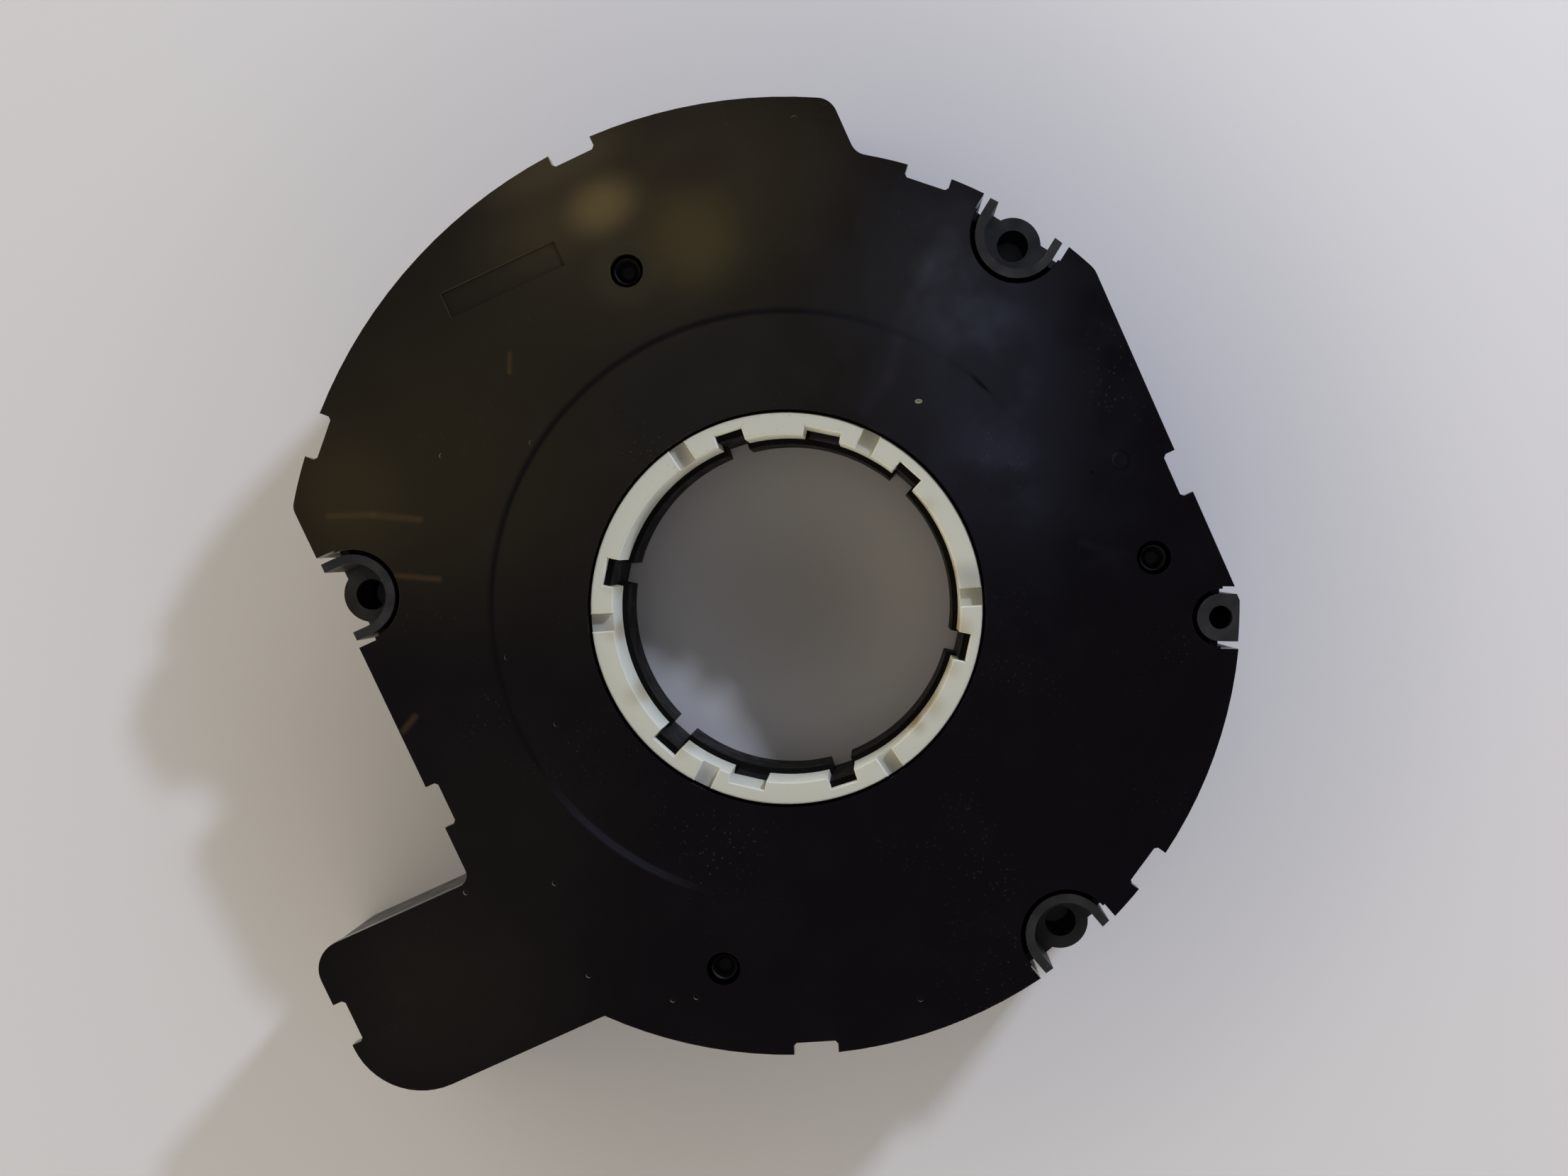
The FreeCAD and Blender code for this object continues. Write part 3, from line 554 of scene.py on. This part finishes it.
chip_epoxy = Finish("chip epoxy", (0.014, 0.014, 0.015), 0.55)
chip_epoxy.skin(0.5, 0.02, Wave_Scale=1200.0, Grain_Scale=9000.0, Grain_Share=0.7, Smooth=0.5, Rough=0.65)

tin = Finish("tinned metal", (0.62, 0.61, 0.58), 0.28, metallic=1.0)
tin.dust((0.30, 0.28, 0.25), 0.8, 2500.0)
tin.skin(0.15, 0.01, Wave_Scale=900.0, Grain_Scale=6000.0, Grain_Share=0.5, Smooth=0.2, Rough=0.38)

capacitor_yellow = Finish("capacitor resin", (0.42, 0.24, 0.05), 0.45)
capacitor_yellow.skin(
    0.25, 0.02, Wave_Scale=700.0, Grain_Scale=6000.0, Grain_Share=0.4, Smooth=0.38, Rough=0.52
)

header_grey = Finish("header plastic", (0.018, 0.018, 0.019), 0.42)
header_grey.skin(0.3, 0.02, Wave_Scale=500.0, Grain_Scale=6000.0, Grain_Share=0.5, Smooth=0.36, Rough=0.5)

barrier_dark = Finish("barrier plastic", (0.022, 0.018, 0.02), 0.3)
barrier_dark.skin(0.2, 0.02, Wave_Scale=600.0, Grain_Scale=6000.0, Grain_Share=0.3, Smooth=0.24, Rough=0.36)
print("small parts' finishes are mixed")

# %% [markdown]
# ### The board's finish
# The board is green solder resist over copper. Bands of a Wave texture, bent by noise, stand for the
# tracks that run round the ring.

# %% Mix the circuit board
board_green = Finish("circuit board", (0.012, 0.075, 0.030), 0.35)
tracks = board_green.tree.nodes.new("ShaderNodeTexWave")
tracks.wave_type = "RINGS"
tracks.rings_direction = "Z"
tracks.inputs["Scale"].default_value = 260.0
tracks.inputs["Distortion"].default_value = 3.0
tracks.inputs["Detail"].default_value = 1.0
board_green.tree.links.new(board_green.place, tracks.inputs["Vector"])
copper = board_green.tree.nodes.new("ShaderNodeMapRange")
copper.inputs["From Min"].default_value = 0.62
copper.inputs["From Max"].default_value = 0.70
board_green.tree.links.new(tracks.outputs["Fac"], copper.inputs["Value"])
board_green.tint(copper.outputs["Result"], (0.035, 0.14, 0.055), 0.8)
board_green.skin(0.2, 0.02, Wave_Scale=400.0, Grain_Scale=5000.0, Grain_Share=0.3, Smooth=0.3, Rough=0.42)
print("finish ready:", board_green.material.name)

# %% [markdown]
# ## Rounded copies of the four shapes that show
# A moulded edge is never sharp. The cover, the housing, the hub and the driver ring are copied, merged into
# closed meshes and bevelled, and each copy replaces its CAD node in the picture. The bevel removes a
# few tenths of a millimetre from chosen edges and never adds, so the fits stay as they are. Every face is
# shaded smooth, and an edge that turns by 32 degrees or more is marked sharp, unless it is listed as soft.

# %% Copy a node's mesh and round its edges
WELD_GAP = 0.002 * MM
FLAT_WITHIN = math.radians(0.6)
SHARP_FROM = math.radians(32)
LEVEL_GAP = 0.05 * MM


def merged_copy(node):
    shape = bmesh.new()
    shape.from_mesh(nodes[node].data)
    bmesh.ops.remove_doubles(shape, verts=shape.verts, dist=WELD_GAP)
    bmesh.ops.dissolve_limit(shape, angle_limit=FLAT_WITHIN, verts=shape.verts, edges=shape.edges)
    return shape


def outer_edges(shape, height, outer=200.0, least_turn=40.0):
    """Convex edges of least_turn degrees or more, at a height in metres, within a radius in millimetres."""
    chosen = []
    for edge in shape.edges:
        if len(edge.link_faces) != 2:
            continue
        if edge.calc_face_angle_signed(0.0) < math.radians(least_turn):
            continue
        if not all(abs(vertex.co.z - height) <= LEVEL_GAP for vertex in edge.verts):
            continue
        if all(vertex.co.xy.length / MM <= outer for vertex in edge.verts):
            chosen.append(edge)
    return chosen


def round_off(shape, edges, width, steps=2):
    bmesh.ops.bevel(
        shape, geom=edges, offset=width * MM, offset_type="OFFSET", segments=steps, profile=0.5,
        affect="EDGES", clamp_overlap=True, material=-1,
    )


def place_piece(shape, name, finish, body, replaces=(), soft_edges=()):
    mesh = bpy.data.meshes.new(name)
    for face in shape.faces:
        face.smooth = True
    for edge in shape.edges:
        edge.smooth = edge.calc_face_angle(math.pi) < SHARP_FROM
    for edge in soft_edges:
        edge.smooth = True
    shape.to_mesh(mesh)
    shape.free()
    piece = bpy.data.objects.new(name, mesh)
    bpy.context.scene.collection.objects.link(piece)
    mesh.materials.append(finish.material)
    weighted = piece.modifiers.new("even shading", "WEIGHTED_NORMAL")
    weighted.keep_sharp = True
    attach(piece, body)
    if replaces:
        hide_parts(*replaces)
    print(name, "has", len(mesh.polygons), "faces")


# %% [markdown]
# ### The cover
# The outline and the holes get a rounded edge. The groove is 0.3 mm deep and the bare recess 0.2 mm, about
# as much as the bevel takes, so it leaves their edges out. The groove's edges are listed as soft, because
# with sharp ones it mirrors the bright low room as a light double line, which the real one doesn't show.

# %% Round the cover
cover_shape = merged_copy("front_cover")
face_edges = outer_edges(cover_shape, cover_face_z)
GROOVE_BAND = 0.7
RECESS_MIDDLE = Vector((-14.5, 50.4))
RECESS_REACH = 8.2


def in_groove_or_recess(edge):
    middle = (edge.verts[0].co.xy + edge.verts[1].co.xy) / 2 / MM
    return abs(middle.length - GROOVE_R) < GROOVE_BAND or (middle - RECESS_MIDDLE).length < RECESS_REACH


top_edges = [edge for edge in face_edges if not in_groove_or_recess(edge)]
print("cover edges to round:", len(top_edges), "of", len(face_edges))
round_off(cover_shape, top_edges, width=0.22)

# %% Keep the groove's edges soft
GROOVE_HALF_WIDTH = 0.6
GROOVE_BELOW_FACE = 0.5


def in_groove(vertex):
    from_line = abs(vertex.co.xy.length / MM - GROOVE_R)
    return from_line < GROOVE_HALF_WIDTH and vertex.co.z > cover_face_z - GROOVE_BELOW_FACE * MM


groove_edges = [edge for edge in cover_shape.edges if all(in_groove(vertex) for vertex in edge.verts)]
print("soft edges in the groove:", len(groove_edges))
place_piece(
    cover_shape, "smoked_front_cover", smoked, "case", ["front_cover"], groove_edges
)

# %% [markdown]
# ### The housing
# Three posts of the tray stand in the cover's holes, and their tops are hollow. Each top face is inset and
# sunk twice: the first step cuts the bowl, and the second a smaller hollow in its floor. Of the housing's
# edges, those of the back near the bore are rounded.

# %% Dish the tops of the posts
housing_shape = merged_copy("rear_housing")
POST_PLACES = ((-0.47, 45.2), (43.36, -12.76), (-25.67, -37.2))
POST_MIDDLE_WITHIN = 0.6
POST_TOP_WITHIN = 2.5
FACES_UP = 0.99
DISH_STEPS = ((0.35, 0.9), (0.45, 0.35))


def is_post_top(face):
    middle = face.calc_center_median()
    near_post = any((middle.xy / MM - Vector(place)).length < POST_MIDDLE_WITHIN for place in POST_PLACES)
    return face.normal.z > FACES_UP and near_post and middle.z > cover_face_z - POST_TOP_WITHIN * MM


post_faces = [face for face in housing_shape.faces if is_post_top(face)]
print("post tops to dish:", len(post_faces), [len(face.verts) for face in post_faces])
for inset, depth in DISH_STEPS:
    bmesh.ops.inset_individual(housing_shape, faces=post_faces, thickness=inset * MM)
    for face in post_faces:
        bmesh.ops.translate(housing_shape, verts=face.verts, vec=(0, 0, -depth * MM))

# %% Round the housing
BACK_WITHIN = 30.0
back_edges = outer_edges(housing_shape, housing_back_z, outer=BACK_WITHIN)
print("housing edges to round:", len(back_edges))
round_off(housing_shape, back_edges, width=0.3)
place_piece(
    housing_shape, "black_rear_housing", housing_black, "case", ["rear_housing"]
)

# %% [markdown]
# ### The rotor
# The hub's front rim is rounded. So is the inner edge of the driver ring's front face, which lies deeper in
# the bore. The ring's box can't give that height, because its hooks stand higher than the face.

# %% Round the rotor
hub_front_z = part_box("rotor_hub")[1].z
hub_shape = merged_copy("rotor_hub")
rim_edges = outer_edges(hub_shape, hub_front_z)
print("hub edges to round:", len(rim_edges))
round_off(hub_shape, rim_edges, width=0.25)
place_piece(hub_shape, "white_rotor_hub", rotor_white, "rotor", ["rotor_hub"])

RING_FRONT_Z = 7.0 * MM
RING_BORE_WITHIN = 20.8
ring_shape = merged_copy("driver_ring")
ring_edges = outer_edges(ring_shape, RING_FRONT_Z, outer=RING_BORE_WITHIN)
print("ring edges to round:", len(ring_edges))
round_off(ring_shape, ring_edges, width=0.15)
place_piece(ring_shape, "black_driver_ring", driver_black, "rotor", ["driver_ring"])

# %% [markdown]
# ## Finishes for the nodes that stay
# The other nodes keep their CAD shape, and those named below each get one of the finishes above.

# %% Give the CAD nodes their finishes
FINISH_OF = {
    "code_ring": code_black,
    "circuit_board": board_green,
    "microcontroller": chip_epoxy,
    "bus_driver": chip_epoxy,
    "voltage_regulator": chip_epoxy,
    "quartz_crystal": tin,
    "capacitor_1": capacitor_yellow,
    "capacitor_2": capacitor_yellow,
    "line_choke": chip_epoxy,
    "chip_resistors": chip_epoxy,
    "connector_header": header_grey,
}


def finish_for(name):
    if name.startswith("light_barrier"):
        return barrier_dark
    if name.startswith("connector_pin"):
        return tin
    return FINISH_OF.get(name)


dressed = [name for name in nodes if finish_for(name) is not None]
for name in dressed:
    nodes[name].data.materials.clear()
    nodes[name].data.materials.append(finish_for(name).material)
print("nodes that got a finish:", len(dressed), "of", len(nodes))

# %% [markdown]
# ## Moulding marks on the cover
# Ejector pins leave small round marks with a raised rim. There are two wider dimples, and the gate where the
# plastic came in leaves an oval pit. Each starts as a filled circle on the face. The first inset's inner face
# is lifted, which slopes the ring outside it. The second inset leaves a rim at that height, and the face
# inside sinks most of the way back.

# %% Model a moulding mark
SLOPE_SHARE = 0.22
RIM_SHARE = 0.25
SINK_SHARE = 0.8


def mould_mark(shape, centre, radius, height, stretch=1.0, sides=20, turn=0.0):
    disc = bmesh.ops.create_circle(shape, cap_ends=True, segments=sides, radius=radius * MM)
    face = disc["verts"][0].link_faces[0]
    rim = bmesh.ops.inset_individual(shape, faces=[face], thickness=radius * SLOPE_SHARE * MM)
    bmesh.ops.translate(shape, verts=face.verts, vec=(0, 0, height * MM))
    bmesh.ops.inset_individual(shape, faces=[face], thickness=radius * RIM_SHARE * MM)
    bmesh.ops.translate(shape, verts=face.verts, vec=(0, 0, -height * SINK_SHARE * MM))
    whole = {vertex for part in [face, *rim["faces"]] for vertex in part.verts}
    reach = {vertex for vertex in whole for edge in vertex.link_edges for vertex in edge.verts}
    place = Matrix.Translation(Vector((centre[0] * MM, centre[1] * MM, cover_face_z)))
    place = place @ Matrix.Rotation(math.radians(turn), 4, "Z") @ Matrix.Diagonal((stretch, 1, 1, 1))
    bmesh.ops.transform(shape, matrix=place, verts=list(whole | reach))


# %% Model the ejector marks and the dimples
EJECTOR_MARKS = (
    (25.4, 53.0), (-19.6, 31.2), (-30.2, 34.3), (-33.5, 8.9), (-31.5, -1.0), (-50.6, -15.3),
    (-40.1, -18.8), (-41.2, -31.0), (-33.0, -38.1), (-30.2, -39.0), (10.2, -31.2), (40.8, -0.3),
    (-5.0, -50.7),
)
DIMPLES = ((-14.6, 45.3), (44.4, -0.3))
marks = bmesh.new()
for spot in EJECTOR_MARKS:
    mould_mark(marks, spot, radius=0.40, height=0.038)
for spot in DIMPLES:
    mould_mark(marks, spot, radius=1.25, height=0.05, sides=28)
place_piece(marks, "cover_moulding_marks", smoked, "case")

# %% Model the gate pit
gate_white = Finish("broken gate", (0.12, 0.115, 0.075), 0.6)
gate_white.skin(0.8, 0.05, Wave_Scale=2500.0, Grain_Scale=9000.0, Grain_Share=0.5, Smooth=0.5, Rough=0.75)
GATE_PLACE = (25.1, 16.3)
gate = bmesh.new()
mould_mark(gate, GATE_PLACE, radius=0.27, height=0.06, stretch=1.7, sides=16, turn=-24)
place_piece(gate, "cover_gate_pit", gate_white, "case")

# %% [markdown]
# ## Floor, world and lamp
# The sensor lies on a plain pale surface. The room is bright low down and dark overhead, so the flat cover
# mirrors a dark sky and the bore stays in shade. Four soft bluish panes high on the right give the cover its
# cool band of sheen. One small soft lamp, low on the upper right, throws the shadow to the lower left and
# lights a spot on the floor seen through the bore.

# %% Lay the floor
FLOOR_HALF_SIDE = 1.5
floor_z = housing_back_z - 0.01 * MM
floor_shape = bmesh.new()
bmesh.ops.create_grid(floor_shape, x_segments=8, y_segments=8, size=FLOOR_HALF_SIDE)
bmesh.ops.translate(floor_shape, verts=floor_shape.verts, vec=(0, 0, floor_z))
floor_mesh = bpy.data.meshes.new("floor")
floor_shape.to_mesh(floor_mesh)
floor_shape.free()
floor = bpy.data.objects.new("floor", floor_mesh)
bpy.context.scene.collection.objects.link(floor)
floor_paint = Finish("floor paint", (0.64, 0.63, 0.64), 0.45)
floor_mesh.materials.append(floor_paint.material)
print("floor at", round(floor_z / MM, 2), "mm")


# %% Light the room
def set_stop(stop, position, colour):
    stop.position = position
    stop.color = (*colour, 1.0)


world = bpy.data.worlds.new("room")
bpy.context.scene.world = world
world.use_nodes = True
sky = world.node_tree
backdrop = sky.nodes["Background"]
direction = sky.nodes.new("ShaderNodeTexCoord").outputs["Generated"]
split = sky.nodes.new("ShaderNodeSeparateXYZ")
sky.links.new(direction, split.inputs[0])
room = sky.nodes.new("ShaderNodeValToRGB")
room.color_ramp.interpolation = "EASE"
set_stop(room.color_ramp.elements[0], 0.34, (1.0, 1.0, 1.0))
set_stop(room.color_ramp.elements[1], 0.55, (0.045, 0.036, 0.020))
zenith = room.color_ramp.elements.new(0.86)
zenith.color = (0.0215, 0.0195, 0.025, 1.0)
sky.links.new(split.outputs["Z"], room.inputs["Fac"])
sides = sky.nodes.new("ShaderNodeValToRGB")
sides.color_ramp.interpolation = "EASE"
set_stop(sides.color_ramp.elements[0], 0.1, (1.55, 1.42, 1.16))
set_stop(sides.color_ramp.elements[1], 0.9, (0.62, 0.65, 0.75))
across = sky.nodes.new("ShaderNodeMapRange")
across.inputs["From Min"].default_value = -1.0
sky.links.new(split.outputs["X"], across.inputs["Value"])
sky.links.new(across.outputs["Result"], sides.inputs["Fac"])
lit_room = sky.nodes.new("ShaderNodeVectorMath")
lit_room.operation = "MULTIPLY"
sky.links.new(room.outputs["Color"], lit_room.inputs[0])
sky.links.new(sides.outputs["Color"], lit_room.inputs[1])
print("colours from the floor to the zenith:", len(room.color_ramp.elements))

# %% Add the window panes
WINDOW_PANES = (
    ((0.114, 0.136, 0.985), (0.054, 0.064, 0.5), (0.31, 0.34, 0.47)),
    ((0.118, 0.084, 0.989), (0.040, 0.066, 0.5), (0.22, 0.27, 0.41)),
    ((0.092, 0.008, 0.995), (0.046, 0.060, 0.5), (0.19, 0.21, 0.33)),
    ((0.062, 0.050, 0.997), (0.040, 0.040, 0.5), (0.10, 0.11, 0.17)),
)
light_so_far = lit_room.outputs[0]
for centre, reach, colour in WINDOW_PANES:
    window = sky.nodes.new("ShaderNodeGroup")
    window.node_tree = soft_patch
    window.inputs["Centre"].default_value = centre
    window.inputs["Reach"].default_value = reach
    sky.links.new(direction, window.inputs["Vector"])
    sheen = sky.nodes.new("ShaderNodeMix")
    sheen.data_type = "RGBA"
    sheen.inputs["B"].default_value = (*colour, 1.0)
    sky.links.new(light_so_far, sheen.inputs["A"])
    sky.links.new(window.outputs["Mask"], sheen.inputs["Factor"])
    light_so_far = sheen.outputs["Result"]
sky.links.new(light_so_far, backdrop.inputs["Color"])
backdrop.inputs["Strength"].default_value = 3.0
print("window panes in the room:", len(WINDOW_PANES))

# %% Hang the lamp
lamp_data = bpy.data.lights.new("window lamp", "AREA")
lamp_data.shape = "RECTANGLE"
lamp_data.size = 0.07
lamp_data.size_y = 0.035
lamp_data.energy = 5.4
lamp_data.color = (0.74, 0.82, 1.0)
lamp = bpy.data.objects.new("window lamp", lamp_data)
bpy.context.scene.collection.objects.link(lamp)
LAMP_TURN = math.radians(25.7)
LAMP_RISE = math.radians(21.8)
LAMP_DISTANCE = 0.8
towards = Vector((math.cos(LAMP_TURN), math.sin(LAMP_TURN), math.tan(LAMP_RISE)))
lamp.location = towards.normalized() * LAMP_DISTANCE
lamp.rotation_euler = (-lamp.location).to_track_quat("-Z", "Y").to_euler()
print("lamp stands at", [round(c, 3) for c in lamp.location])

# %% [markdown]
# ## Camera
# The picture was taken from nearly straight above. The lens and the sensor's depth are guesses. With them
# given, the camera's place, its aim, its turn and a small shift were fitted to the outline and to how far the
# bore's rear edge is shifted against the cover.

# %% Set the camera
camera_data = bpy.data.cameras.new("camera")
camera_data.lens = 35.0
camera_data.sensor_width = 36.0
camera_data.shift_x = -0.0544
camera_data.shift_y = 0.0344
camera_data.clip_start = 0.01
camera = bpy.data.objects.new("camera", camera_data)
bpy.context.scene.collection.objects.link(camera)
stand = Vector((13.586, 2.496, 200.30)) * MM
aim = Vector((7.585, -7.759, 14.5)) * MM
PICTURE_TURN = math.radians(65.49)
picture_up = Vector((math.cos(PICTURE_TURN), math.sin(PICTURE_TURN), 0))
ahead = (aim - stand).normalized()
rightwards = ahead.cross(picture_up).normalized()
upwards = rightwards.cross(ahead)
turned = Matrix((rightwards, upwards, -ahead)).transposed().to_4x4()
camera.matrix_world = Matrix.Translation(stand) @ turned
bpy.context.scene.camera = camera
bpy.context.scene.view_settings.view_transform = "Standard"
print("camera stands", round(stand.z / MM, 1), "mm up")
